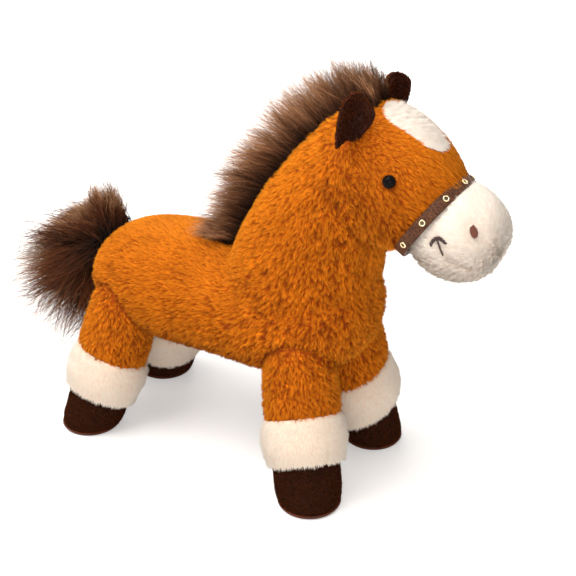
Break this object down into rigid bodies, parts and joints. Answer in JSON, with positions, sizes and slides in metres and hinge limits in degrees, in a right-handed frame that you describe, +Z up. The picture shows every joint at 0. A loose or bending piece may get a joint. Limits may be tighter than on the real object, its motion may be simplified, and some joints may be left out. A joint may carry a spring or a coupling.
{
  "type": "plush horse",
  "caption": "Stuffed toy horse of pile fabric on short legs, with a long-pile mane and tail, folding ears and an eyeleted noseband.",
  "frame": {"origin": "on the floor, midway between the tip of the tail and the tip of the muzzle, in the plane of symmetry", "axes": "+X where the horse faces, +Y its left side, +Z up"},
  "size_m": [0.3968, 0.1388, 0.2908],
  "materials": {
    "coat": "orange-brown short pile plush",
    "cream": "cream short pile plush",
    "white": "white short pile plush",
    "hoof": "dark brown suede cloth",
    "ear": "dark brown velour",
    "long_pile": "dark brown long pile with pale tips",
    "strap": "brown imitation leather",
    "eyelet": "polished gilt",
    "eye": "polished black",
    "washer": "plain white",
    "thread": "red-brown embroidery thread"
  },
  "bodies": {
    "trunk": {"torso": "coat", "neck": "coat", "head": "coat", "muzzle": "white", "blaze": "white", "noseband": "strap", "eyelet_1": "eyelet", "eyelet_2": "eyelet", "eyelet_3": "eyelet", "eyelet_4": "eyelet", "eyelet_5": "eyelet", "eyelet_6": "eyelet", "eyelet_7": "eyelet", "eye_left": "eye", "eye_right": "eye", "eye_washer_left": "washer", "eye_washer_right": "washer", "nostril_left": "thread", "nostril_right": "thread", "mouth_left": "thread", "mouth_right": "thread", "mane": "long_pile"},
    "ear_left": {"ear_left": "ear", "ear_lining_left": "ear"},
    "ear_right": {"ear_right": "ear", "ear_lining_right": "ear"},
    "leg_front_left": {"leg_front_left": "coat", "cuff_front_left": "cream", "hoof_front_left": "hoof", "sole_front_left": "hoof"},
    "leg_front_right": {"leg_front_right": "coat", "cuff_front_right": "cream", "hoof_front_right": "hoof", "sole_front_right": "hoof"},
    "leg_rear_left": {"leg_rear_left": "coat", "cuff_rear_left": "cream", "hoof_rear_left": "hoof", "sole_rear_left": "hoof"},
    "leg_rear_right": {"leg_rear_right": "coat", "cuff_rear_right": "cream", "hoof_rear_right": "hoof", "sole_rear_right": "hoof"},
    "tail": {"tail": "long_pile"}
  },
  "joints": [
    {"name": "hip_front_left", "type": "hinge", "parent": "trunk", "child": "leg_front_left", "pos_m": [0.075, 0.031, 0.1], "axis": [0, 1, 0], "range_deg": [-12, 12], "stiffness_Nm_per_rad": 1},
    {"name": "hip_front_right", "type": "hinge", "parent": "trunk", "child": "leg_front_right", "pos_m": [0.075, -0.031, 0.1], "axis": [0, 1, 0], "range_deg": [-12, 12], "stiffness_Nm_per_rad": 1},
    {"name": "hip_rear_left", "type": "hinge", "parent": "trunk", "child": "leg_rear_left", "pos_m": [-0.067, 0.031, 0.1], "axis": [0, 1, 0], "range_deg": [-12, 12], "stiffness_Nm_per_rad": 1},
    {"name": "hip_rear_right", "type": "hinge", "parent": "trunk", "child": "leg_rear_right", "pos_m": [-0.067, -0.031, 0.1], "axis": [0, 1, 0], "range_deg": [-12, 12], "stiffness_Nm_per_rad": 1},
    {"name": "ear_fold_left", "type": "hinge", "parent": "trunk", "child": "ear_left", "pos_m": [0.10601, 0.0343, 0.25022], "axis": [-0.1734, -0.896, -0.4089], "range_deg": [-15, 15], "stiffness_Nm_per_rad": 0.02},
    {"name": "ear_fold_right", "type": "hinge", "parent": "trunk", "child": "ear_right", "pos_m": [0.10601, -0.0343, 0.25022], "axis": [-0.4993, -0.8297, 0.2494], "range_deg": [-15, 15], "stiffness_Nm_per_rad": 0.02},
    {"name": "tail_swing", "type": "hinge", "parent": "trunk", "child": "tail", "pos_m": [-0.1, 0, 0.138], "axis": [0, 0, 1], "range_deg": [-15, 15], "stiffness_Nm_per_rad": 0.1}
  ]
}
